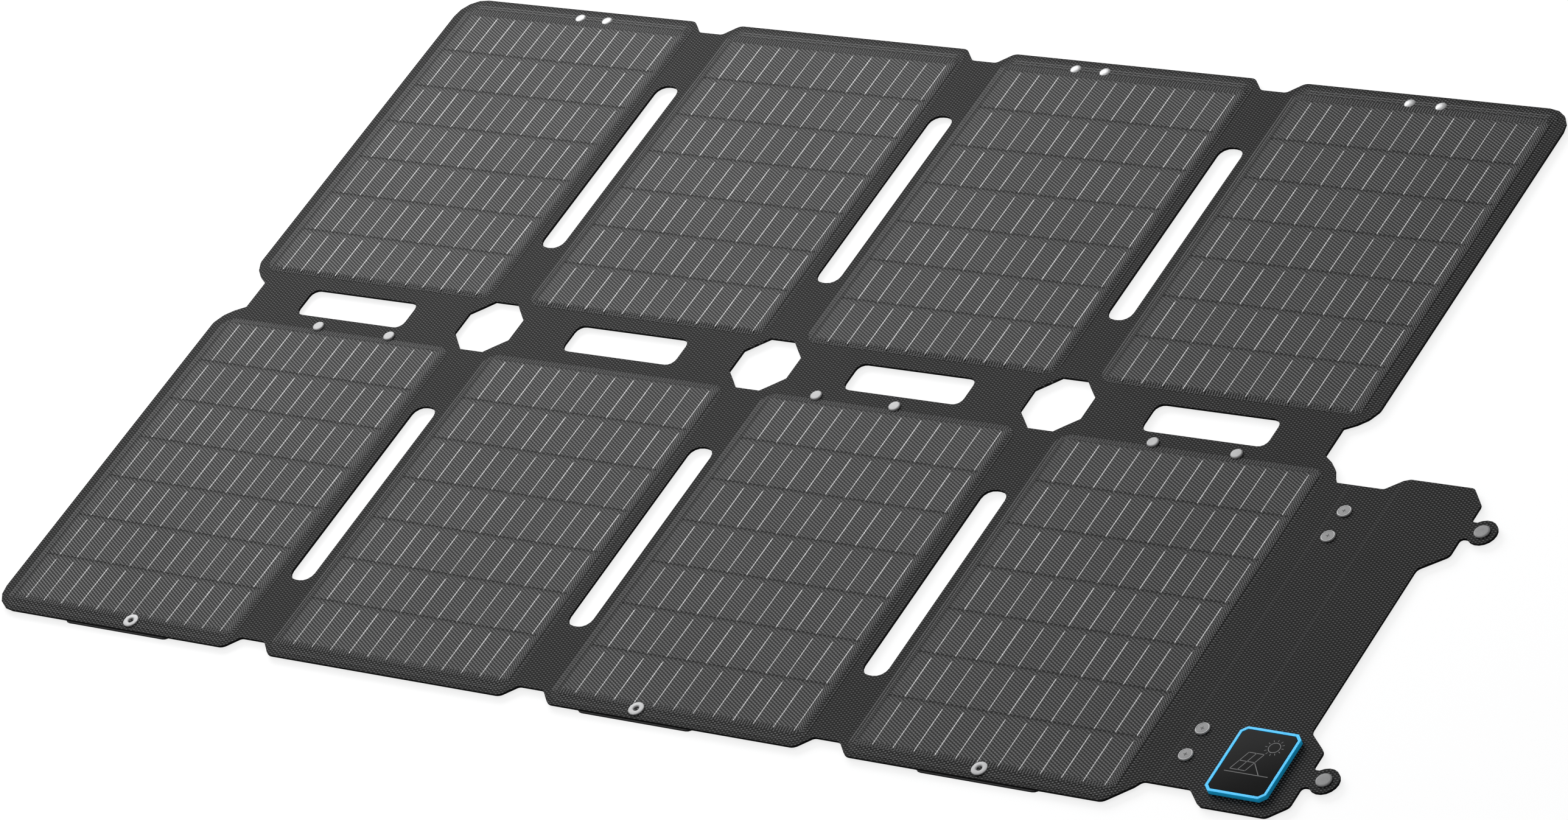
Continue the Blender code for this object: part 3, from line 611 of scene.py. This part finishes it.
def whole_cloth():
    """The mat, the bands between the rows and the flap as one cloth, with its cut edges rounded."""
    work = bmesh.new()
    names = [f"mat_{row}_{k}" for row in ROWS for k in COLUMNS]
    names += [f"handle_band_{k}" for k in COLUMNS] + ["flap_spine", "flap_cover"]
    for name in names:
        work.from_mesh(NODES[name].data)
    bmesh.ops.remove_doubles(work, verts=work.verts, dist=TOUCH)
    for vert in work.verts:
        for line in FOLDS.values():
            vert.co.x = snap(vert.co.x, line, FOLD_REACH)
        for line in (SPINE_SEAM, COVER_SEAM):
            vert.co.x = snap(vert.co.x, line, SEAM_REACH)
        for line in (-ROW_SEAM, ROW_SEAM):
            vert.co.y = snap(vert.co.y, line, FOLD_REACH)
    seams_x = [*FOLDS.values(), SPINE_SEAM, COVER_SEAM]
    seams_y = [-ROW_SEAM, ROW_SEAM]

    def on_seam(face):
        """A wall between two parts of the cloth, which is one piece here."""
        on_x = any(all(abs(v.co.x - line) < TOUCH for v in face.verts) for line in seams_x)
        on_y = any(all(abs(v.co.y - line) < TOUCH for v in face.verts) for line in seams_y)
        return on_x or on_y

    bmesh.ops.delete(work, geom=[f for f in work.faces if on_seam(f)], context="FACES")
    bmesh.ops.remove_doubles(work, verts=work.verts, dist=WELD)
    bmesh.ops.dissolve_degenerate(work, edges=work.edges, dist=HAIR)
    bmesh.ops.dissolve_limit(work, angle_limit=FLAT_ANGLE, verts=work.verts, edges=work.edges)
    bmesh.ops.recalc_face_normals(work, faces=work.faces)
    round_rims(work)
    bmesh.ops.triangulate(work, faces=work.faces)
    return work


def is_wall(face):
    """A face of the cloth's cut edge, over its whole thickness."""
    heights = [vert.co.z for vert in face.verts]
    return abs(face.normal.z) < 0.05 and max(heights) - min(heights) > 0.9 * (MAT_HIGH - MAT_LOW)


def round_rims(work):
    """Rounds the cloth's cut edges, and gives the walls their black look and the upper rims a lighter one, a
    painted highlight.
    """
    for face in work.faces:
        face.material_index = 1 if abs(face.normal.z) < 0.05 else 0
    rims = []
    for edge in work.edges:
        if len(edge.link_faces) != 2:
            continue
        if sum(is_wall(face) for face in edge.link_faces) == 1:
            rims.append(edge)
    shape = dict(offset=RIM, offset_type="OFFSET", segments=2, profile=0.6)
    made = bmesh.ops.bevel(work, geom=rims, affect="EDGES", clamp_overlap=True, **shape)
    for face in made["faces"]:
        # the upper half of each rounding gets the lighter rim look, a painted highlight; the lower half gets
        # the wall's black
        upper = face.calc_center_median().z > (MAT_LOW + MAT_HIGH) / 2
        face.material_index = 2 if upper else 1


def slice_across(work, axis, place, **cleared):
    """Cuts every face that crosses a place on an axis."""
    point, normal = [0.0, 0.0, 0.0], [0.0, 0.0, 0.0]
    point[axis], normal[axis] = place, 1.0
    geometry = [*work.verts, *work.edges, *work.faces]
    bmesh.ops.bisect_plane(work, geom=geometry, dist=HAIR, plane_co=point, plane_no=normal, **cleared)


def clip(work, axis, place, keep_above):
    """Cuts the cloth across an axis, and keeps one side."""
    slice_across(work, axis, place, clear_inner=keep_above, clear_outer=not keep_above)


def crease(work, axis, place):
    """Edges across the cloth, for it to bend along."""
    slice_across(work, axis, place)


def spread(start, end, step=BEND_STEP):
    """Places from start to end, about a step apart."""
    count = max(2, round((end - start) / step))
    return [start + (end - start) * i / count for i in range(count + 1)]


def cloth_piece(name, x=(None, None), y=(None, None), creases=()):
    """One region of the cloth, between limits in X and Y."""
    work = CLOTH.copy()
    for axis, limits in ((0, x), (1, y)):
        if limits[0] is not None:
            clip(work, axis, limits[0], True)
        if limits[1] is not None:
            clip(work, axis, limits[1], False)
    for axis, place in creases:
        crease(work, axis, place)
    made = show(name, work, FABRIC, EDGE, RIM_HIGHLIGHT_LOOK)
    flat_coords(made)
    even_normals(made)
    return made


def column_sides(k):
    """The left and right limits of a panel's rigid cloth."""
    left = FOLDS[k - 1] + STRIP_HALF if k > COLUMNS[0] else None
    right = FOLDS[k] - STRIP_HALF if k < COLUMNS[-1] else None
    return left, right


def make_cloth():
    """Each panel's rigid cloth, the bands between the rows and the strips between the columns."""
    for k in COLUMNS:
        left, right = column_sides(k)
        top = cloth_piece(f"mat_skin_top_{k}", (left, right), (BAND_HALF, None))
        finish_piece(top, f"top_{k}", "mat_fabric", f"mat_top_{k}")
        end = ROOT_START if k == COLUMNS[-1] else right
        bottom = cloth_piece(f"mat_skin_bottom_{k}", (left, end), (None, -BAND_HALF))
        finish_piece(bottom, f"bottom_{k}", "mat_fabric", f"mat_bottom_{k}")
        low = FOLDS[k - 1] if k > COLUMNS[0] else None
        high = FOLDS[k] if k < COLUMNS[-1] else ROOT_START
        creases = [(1, place) for place in spread(-ROW_BEND, ROW_BEND, BEND_STEP / 2)]
        band = cloth_piece(f"row_band_{k}", (low, high), (-BAND_HALF, BAND_HALF), creases)
        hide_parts(f"handle_band_{k}")
        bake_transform(band)
    for k, line in FOLDS.items():
        bend = TIGHT_BEND if k == BACK_TO_BACK else DEEP_BEND
        creases = [(0, line + place) for place in spread(-bend, bend)]
        limits = line - STRIP_HALF, line + STRIP_HALF
        strip = cloth_piece(f"column_strip_{k}", limits, (None, -BAND_HALF), creases)
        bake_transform(strip)
        for side, column in (("left", k), ("right", k + 1)):
            limits = (line - STRIP_HALF, line) if side == "left" else (line, line + STRIP_HALF)
            half = cloth_piece(f"column_seam_{k}_{side}", limits, (BAND_HALF, None))
            finish_piece(half, f"top_{column}", "mat_fabric")


def make_flap_cloth():
    """The flap's cloth, in two pieces with creases at the spine's and the cover's seams."""
    start, end = SPINE_SEAM - SPINE_BEND, SPINE_SEAM + SPINE_BEND
    creases = [(0, place) for place in spread(start, end)]
    root = cloth_piece("flap_spine_cloth", (ROOT_START, SPINE_MIDDLE), (None, -ROW_SEAM), creases)
    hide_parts("flap_spine")
    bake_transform(root)
    start, end = COVER_SEAM - COVER_BEND_START, COVER_SEAM + COVER_BEND_END
    creases = [(0, place) for place in spread(start, end, BEND_STEP / 2)]
    cover = cloth_piece("flap_cover_cloth", (SPINE_MIDDLE, None), (None, -ROW_SEAM), creases)
    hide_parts("flap_cover")
    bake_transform(cover)


# ---------------------------------------------------------------- film and busbars


def film_ring(middle, sign, share, height):
    """The film's outline between its embossed line, share 0, and the cell zone, share 1."""
    low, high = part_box("cells_top_1")
    near, far = low.y, high.y
    half = FILM_HALF_WIDTH + (CELL_HALF - FILM_HALF_WIDTH) * share
    y0 = FILM_NEAR + (near - FILM_NEAR) * share
    y1 = FILM_FAR + (far - FILM_FAR) * share
    radius = FILM_CORNER + (CELL_CORNER - FILM_CORNER) * share
    if sign < 0:
        y0, y1 = -y1, -y0
    z = MAT_HIGH + (CELLS_HIGH - MAT_HIGH) * height
    return rounded_ring(middle - half, middle + half, y0, y1, radius, z)


def cell_run(row, k):
    """Where a panel's first cell starts, and the length of each of its cells."""
    low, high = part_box(f"cells_{row}_{k}")
    start = high.y - HEAD_DROP[row]
    return start, (start - low.y) / CELL_ROWS


def make_film(row, k):
    """The embossed film over one panel's cells, which rises from the cloth to the cell zone."""
    node = f"cells_{row}_{k}"
    middle = middle_of(node).x
    start, length = cell_run(row, k)
    sign = 1 if row == "top" else -1
    work = bmesh.new()
    loft(work, [film_ring(middle, sign, share, height) for share, height in FILM_PROFILE])
    made = show(f"cell_film_{row}_{k}", work, FILM)
    flat_coords(made)
    flat_coords(made, "panel", (middle, start), -CELL_LENGTH / length)
    even_normals(made)
    finish_piece(made, f"{row}_{k}", "cell_laminate", node)


def make_bars(row, k):
    """Twelve busbars in seven lengths, each a low half-round ridge under the film."""
    node = f"cells_{row}_{k}"
    middle = middle_of(node).x + CELL_SHIFT[k]
    top, length = cell_run(row, k)
    work = bmesh.new()
    for i in range(BARS):
        x = middle + (i - (BARS - 1) / 2) * BAR_PITCH
        for j in range(CELL_ROWS):
            start = top - j * length - (FIRST_GAP if j == 0 else BAR_GAP)
            end = top - (j + 1) * length - (LAST_RUN if j == CELL_ROWS - 1 else 0.0)
            lean = BAR_LEAN * math.sin(2.3 * i + 1.7 * j + k)
            width = BAR_WIDTH * (1 + BAR_UNEVENNESS * math.sin(1.1 * i + 2.9 * j))
            stations = [(start, BAR_END_HEIGHT), (start - BAR_TAPER, 1.0)]
            stations += [(end + BAR_TAPER, 1.0), (end, BAR_END_HEIGHT)]
            rings = []
            for y, swell in stations:
                shift = lean * (y - start) / (end - start)
                ring = []
                for across, rise in BAR_SECTION:
                    z = CELLS_HIGH + BAR_HEIGHT * rise * (swell if rise > 0 else 1.0)
                    ring.append(Vector((x + shift + across * width * (0.6 + 0.4 * swell), y, z)))
                rings.append(ring)
            loft(work, rings)
    bmesh.ops.recalc_face_normals(work, faces=work.faces)
    made = show(f"busbars_{row}_{k}", work, TIN)
    flat_coords(made)
    finish_piece(made, f"{row}_{k}", "cell_laminate")


# ---------------------------------------------------------------- fasteners


def cap_profile(radius, low, rim, crown, dome):
    """A pressed cap from under its rim to its crown, domed or flat."""
    points = [(0, low), (radius * 0.94, low), (radius, low + 0.12 * MM), (radius, rim - 0.2 * MM)]
    points += [(radius * 0.97, rim), (radius * 0.9, rim + (crown - rim) * 0.42)]
    if dome:
        for share in (0.72, 0.5, 0.25):
            points.append((radius * share, rim + (crown - rim) * math.sqrt(1 - share * share)))
    else:
        points += [(radius * 0.84, crown - 0.05 * MM), (radius * 0.78, crown), (radius * 0.3, crown)]
    return [*points, (0, crown)]


def bar_under(work, node, reach, width):
    """A backing bar under the mat, that reaches this far from its middle; returns the middle's height."""
    low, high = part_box(node)
    middle = (low + high) / 2
    long_x = high.x - low.x > high.y - low.y
    half_x, half_y = (reach, width / 2) if long_x else (width / 2, reach)
    rings = []
    for inset, z in ((0.25, 0.0), (0.0, 0.3), (0.0, 0.7), (0.25, 1.0)):
        inset_by = inset * MM
        box = (middle.x - half_x + inset_by, middle.x + half_x - inset_by)
        box += (middle.y - half_y + inset_by, middle.y + half_y - inset_by)
        rings.append(rounded_ring(*box, width / 2 - 0.4 * MM - inset_by, low.z + BACKING * z))
    loft(work, rings)
    return low.z + BACKING / 2


def make_caps(node, body, half, radius, dome, look, bar_width):
    """Two caps, each half a spacing from the middle, their posts and the bar that joins them."""
    overhang, rise, drop = FLAT_OVERHANG, FLAT_RISE, 0.0
    if dome:
        overhang, rise, drop = DOMED_OVERHANG, DOMED_RISE, DOME_DROP
    work = bmesh.new()
    foot = bar_under(work, node, half + overhang, bar_width)
    base = MAT_HIGH + CLEARANCE
    post = base + 0.1 * MM
    high = high_of(node).z - drop
    for x, y in cap_points(node, half):
        turned(work, cap_profile(radius, base, high - rise, high, dome), x, y)
        turned(work, [(0, foot), (POST_RADIUS, foot), (POST_RADIUS, post), (0, post)], x, y, 20)
    made = show(f"{node}_pressed", work, look)
    even_normals(made)
    finish_piece(made, body, "fastener_steel", node)


def cap_points(node, half):
    """Where a pair's two caps stand, along the node's longer side."""
    low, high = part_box(node)
    middle = (low + high) / 2
    if high.x - low.x > high.y - low.y:
        return [(middle.x + side * half, middle.y) for side in (-1, 1)]
    return [(middle.x, middle.y + side * half) for side in (-1, 1)]


def make_fasteners():
    """Caps, eyelets, rivets, tab snaps and the studs that the tabs close on."""
    for k in STANDS:
        top = f"top_caps_{k}"
        half = (high_of(top).x - low_of(top).x) / 2 - DOMED_INSET
        make_caps(top, f"top_{k}", half, CAP_RADIUS, True, DOMED, TOP_BAR_WIDTH)
        leg = f"leg_caps_{k}"
        half = (high_of(leg).x - low_of(leg).x) / 2 - FLAT_INSET
        make_caps(leg, f"bottom_{k}", half, CAP_RADIUS, False, SATIN, LEG_BAR_WIDTH)
        make_grommet(k)
    for name in ("upper", "lower"):
        node = f"rivets_{name}"
        half = (high_of(node).y - low_of(node).y) / 2 - FLAT_INSET
        make_caps(node, "flap_spine", half, RIVET_RADIUS, False, DULL, RIVET_BAR_WIDTH)
        make_crosses(name, node, cap_points(node, half))
        make_tab_snap(name)
        soften(f"closing_stud_{name}", DULL, 0.12 * MM)


def make_crosses(name, node, points):
    """The small pressed cross, near-black with painted shade, and the ring, lighter with a painted
    highlight, in each rivet's head.
    """
    crown = high_of(node).z
    work = bmesh.new()
    levels = crown - 0.1 * MM, crown + 0.012 * MM
    for x, y in points:
        for dx, dy in ((CROSS_ARM, CROSS_HALF), (CROSS_HALF, CROSS_ARM)):
            ring = [(x + dx, y - dy), (x + dx, y + dy), (x - dx, y + dy), (x - dx, y - dy)]
            loft(work, [[Vector((*p, level)) for p in ring] for level in levels])
    # the crosses are thin near-black plates: painted shade where the head is pressed in
    made = show(f"rivet_crosses_{name}", work, RIVET_CROSS_SHADE, smooth=False)
    finish_piece(made, "flap_spine", "fastener_steel")
    work = bmesh.new()
    profile = []
    for step in range(9):
        angle = math.tau * step / 8
        height = crown + CLEARANCE + RING_HEIGHT * math.sin(angle)
        profile.append((RING_RADIUS + RING_HALF_WIDTH * math.cos(angle), height))
    for x, y in points:
        turned(work, profile, x, y)
    bmesh.ops.remove_doubles(work, verts=work.verts, dist=HAIR)
    bmesh.ops.recalc_face_normals(work, faces=work.faces)
    # the raised rings, in the lighter grey of a painted highlight
    made = show(f"rivet_rims_{name}", work, RIVET_RING_HIGHLIGHT)
    finish_piece(made, "flap_spine", "fastener_steel")


def make_tab_snap(name):
    """A closing tab's snap: the cap in front and the socket behind."""
    node = f"tab_snap_{name}"
    low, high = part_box(node)
    middle = (low + high) / 2
    radius = (high.x - low.x) / 2
    work = bmesh.new()
    cap = cap_profile(radius, MAT_HIGH + CLEARANCE, high.z - FLAT_RISE, high.z, False)
    turned(work, cap, middle.x, middle.y, 48)
    # the socket behind the tab, and the post that joins it to the cap
    hollow, post = low.z + 0.4 * MM, MAT_HIGH + 0.1 * MM
    socket = [(0, hollow), (2.6 * MM, hollow), (2.9 * MM, low.z), (4.3 * MM, low.z)]
    socket += [(4.6 * MM, 2.1 * MM), (4.4 * MM, 2.3 * MM), (1.6 * MM, 2.3 * MM), (1.6 * MM, post), (0, post)]
    turned(work, socket, middle.x, middle.y, 40)
    made = show(f"tab_snap_{name}_pressed", work, DULL)
    even_normals(made)
    finish_piece(made, "flap_cover", "fastener_steel", node)


def make_grommet(k):
    """A rolled eyelet."""
    node = f"grommet_{k}"
    low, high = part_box(node)
    middle = (low + high) / 2
    radius = (high.x - low.x) / 2
    bore, base, crown = EYELET_BORE, MAT_HIGH + CLEARANCE, high.z
    top = [(radius, base), (radius, crown - 0.35 * MM), (radius - 0.35 * MM, crown)]
    top += [(bore + 1.3 * MM, crown), (bore + 0.5 * MM, crown - 0.15 * MM), (bore, crown - 0.7 * MM)]
    profile = [*top, (bore, low.z), (bore + 0.9 * MM, low.z), (bore + 0.9 * MM, base), top[0]]
    work = bmesh.new()
    turned(work, profile, middle.x, middle.y, 44)
    bmesh.ops.remove_doubles(work, verts=work.verts, dist=HAIR)
    bmesh.ops.recalc_face_normals(work, faces=work.faces)
    made = show(f"{node}_rolled", work, EYELET)
    even_normals(made)
    finish_piece(made, f"bottom_{k}", "fastener_steel", node)


# ---------------------------------------------------------------- output box


def stroke(work, points, width, z):
    """A thin raised line through points on the badge's face."""
    for a, b in zip(points, points[1:]):
        along = (Vector(b) - Vector(a)).normalized()
        side = Vector((-along.y, along.x)) * width / 2
        reach = along * width * 0.35
        start, end = Vector(a) - reach, Vector(b) + reach
        ring = [start - side, end - side, end + side, start + side]
        loft(work, [[Vector((*p, level)) for p in ring] for level in (z - LINE_DEPTH, z + LINE_HEIGHT)])


def make_badge():
    """The blue frame, the dark face and its generic line drawing: the sun and a propped panel."""
    soften("box_frame", BLUE, 1.05 * MM, 5)
    face = soften("face_plate", FACE, 0.12 * MM)
    middle = middle_of("face_plate")
    flat_coords(face, "panel", (middle.x, middle.y))
    z = high_of("face_plate").z

    def at(x, y):
        """A place on the drawing, in millimetres from the face's middle."""
        return (middle.x + x * MM, middle.y + y * MM)

    work = bmesh.new()
    sun, radius = (8.6, 15.0), 4.3
    inner, outer = radius * MM - LINE_WIDTH / 2, radius * MM + LINE_WIDTH / 2
    low, high = z - LINE_DEPTH, z + LINE_HEIGHT
    turned(work, [(inner, low), (inner, high), (outer, high), (outer, low), (inner, low)], *at(*sun), 48)
    for i in range(12):
        angle = math.tau * i / 12
        ray = [(sun[0] + r * math.cos(angle), sun[1] + r * math.sin(angle)) for r in (5.7, 7.0)]
        stroke(work, [at(*p) for p in ray], LINE_WIDTH * 0.8, z)
    # the panel's outline, its grid and prop, and the ground
    lines = [[(-14.0, -8.0), (-7.5, 8.0), (4.5, 8.0), (-2.0, -8.0), (-14.0, -8.0)]]
    lines += [[(-10.75, 0.0), (1.25, 0.0)], [(-8.0, -8.0), (-1.5, 8.0)], [(1.25, 0.0), (9.5, -10.0)]]
    lines += [[(-17.0, -10.4), (17.0, -10.4)]]
    for line in lines:
        stroke(work, [at(*p) for p in line], LINE_WIDTH, z)
    made = show("face_drawing", work, PRINT, smooth=False)
    finish_piece(made, "flap_cover", "face_plastic")


def make_stays():
    """The cloth stays that lie on the kickstand boards."""
    for k in STANDS:
        node = f"stay_sheet_{k}"
        work = bmesh.new()
        work.from_mesh(NODES[node].data)
        bmesh.ops.remove_doubles(work, verts=work.verts, dist=TOUCH)
        bmesh.ops.dissolve_limit(work, angle_limit=FLAT_ANGLE, verts=work.verts, edges=work.edges)
        low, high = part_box(node)
        area = sum(f.calc_area() for f in work.faces if f.normal.z > 0.9)
        for place in spread(low.y, high.y, STAY_STEP)[1:-1]:
            crease(work, 1, place)
        made = show(f"{node}_cloth", work, WEBBING)
        flat_coords(made)
        bevel = made.modifiers.new("round", "BEVEL")
        bevel.width = 0.25 * MM
        bevel.segments = 2
        bevel.limit_method = "ANGLE"
        even_normals(made)
        finish_piece(made, f"stay_{k}", "webbing", node)


def make_hardware():
    """The CAD nodes that keep their shape: boards, tabs, handle and the box's inner parts."""
    for k in STANDS:
        soften(f"kickstand_{k}", BOARD, 0.3 * MM)
        soften(f"stay_tab_{k}", WEBBING, 0.2 * MM, coords=True)
        soften(f"loop_tab_{k}", WEBBING, 0.3 * MM, coords=True)
    soften("carry_handle", WEBBING, 0.35 * MM, coords=True)
    soften("output_case", CASE, 0.5 * MM, 3)
    soften("output_board", CIRCUIT, 0.1 * MM)
    for name in ("left", "right"):
        soften(f"usb_socket_{name}", SATIN, 0.08 * MM)


# ---------------------------------------------------------------- studio


def make_floor():
    """A plain pale floor, just under the panel."""
    work = bmesh.new()
    bmesh.ops.create_grid(work, x_segments=1, y_segments=1, size=FLOOR_SIZE)
    floor = show("studio_floor", work, smooth=False)
    look = Look("studio_floor_pale", 0.9)
    look.set(Base_Color=(*grey(0.97), 1.0))
    look.unlit_to_camera(FLOOR_GLOW)
    floor.data.materials.append(look.material)
    floor.location.z = -FLOOR_DROP


def area_light(name, place, target, size, power):
    """A rectangular light that faces its target, in metres and watts."""
    data = bpy.data.lights.new(name, "AREA")
    data.shape = "RECTANGLE"
    data.size, data.size_y = size
    data.energy = power
    made = bpy.data.objects.new(name, data)
    made.location = place
    made.rotation_euler = (Vector(target) - Vector(place)).to_track_quat("-Z", "Y").to_euler()
    bpy.context.scene.collection.objects.link(made)


def make_studio():
    """Soft light: a pale world, a key light behind the far left corner and a large light above."""
    make_floor()
    world = bpy.data.worlds.new("studio")
    world.use_nodes = True
    background = world.node_tree.nodes["Background"]
    background.inputs["Color"].default_value = (1.0, 1.0, 1.0, 1.0)
    background.inputs["Strength"].default_value = WORLD_LIGHT
    bpy.context.scene.world = world
    area_light("key", (-1.62, 1.25, 1.35), (-0.3, 0.1, 0.0), (2.0, 1.4), 83.0)
    area_light("top", (0.3, -0.5, 3.0), (0.1, 0.0, 0.0), (3.0, 3.0), 30.0)
    bpy.context.scene.view_settings.view_transform = "Standard"


def make_camera():
    """The photo's viewing angle, fitted to the mat's outline and holes."""
    data = bpy.data.cameras.new("camera")
    data.lens = 166.959
    data.sensor_width = 36.0
    data.clip_start, data.clip_end = 0.05, 60.0
    camera = bpy.data.objects.new("camera", data)
    camera.location = (3.09179, -2.81433, 3.15826)
    camera.rotation_euler = [math.radians(angle) for angle in (49.9202, 20.5755, 31.8997)]
    bpy.context.scene.collection.objects.link(camera)
    bpy.context.scene.camera = camera


make_camera()
make_studio()
CLOTH = whole_cloth()
make_cloth()
make_flap_cloth()
CLOTH.free()
for row in ROWS:
    for k in COLUMNS:
        make_film(row, k)
        make_bars(row, k)
make_fasteners()
make_badge()
make_stays()
make_hardware()
